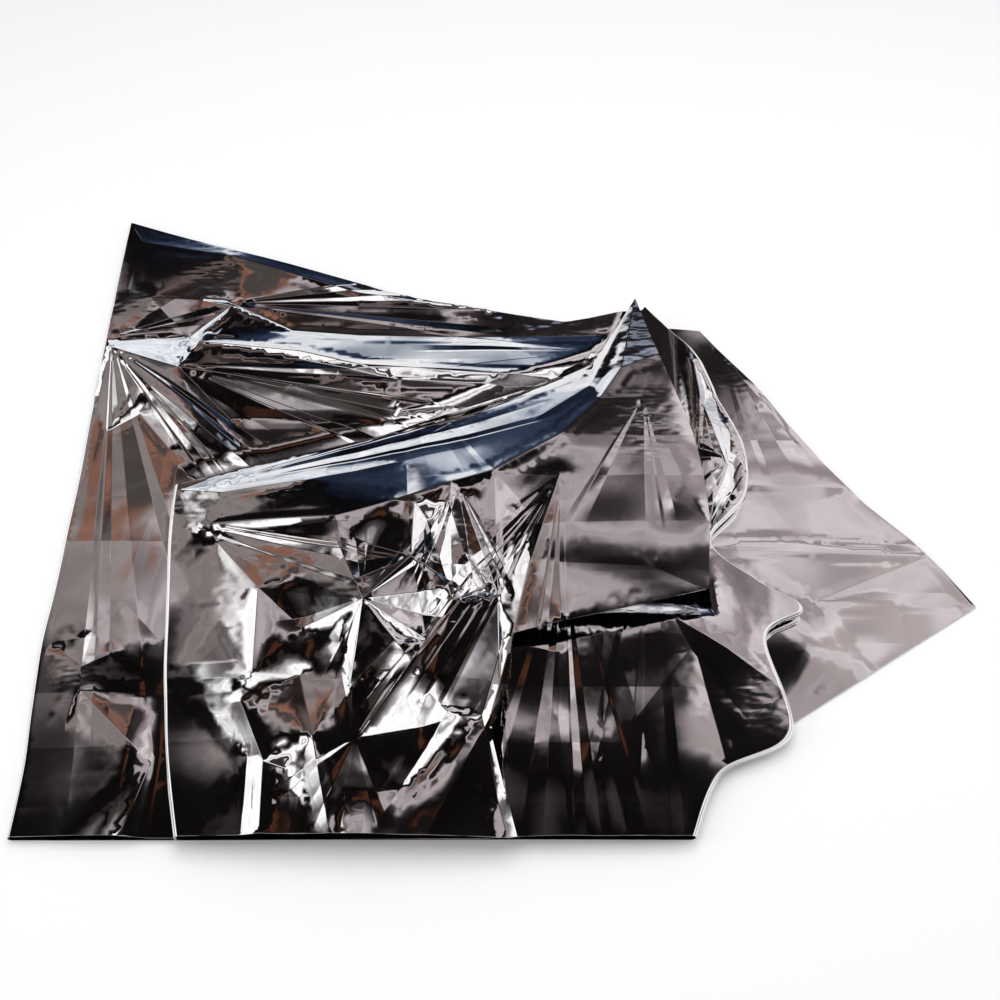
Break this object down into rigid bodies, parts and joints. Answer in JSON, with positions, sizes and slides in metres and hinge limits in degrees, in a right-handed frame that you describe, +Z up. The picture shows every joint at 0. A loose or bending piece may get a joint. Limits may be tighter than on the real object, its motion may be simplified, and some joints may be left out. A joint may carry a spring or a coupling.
{
  "type": "emergency foil blanket",
  "caption": "Thin metallised film blanket lying in loose back-and-forth layers, with a free corner, long pleats and a raised crest.",
  "frame": {"origin": "middle of the footprint, on the surface that the blanket lies on", "axes": "+Z up from the surface, +X from the left fold to the free corner, +Y from the cut front edge to the back"},
  "size_m": [1.1486, 1, 0.0609],
  "materials": {
    "film": "glossy aluminium-coated polyester film, creased"
  },
  "bodies": {
    "root": {"foil_sheet": "film"}
  },
  "joints": []
}
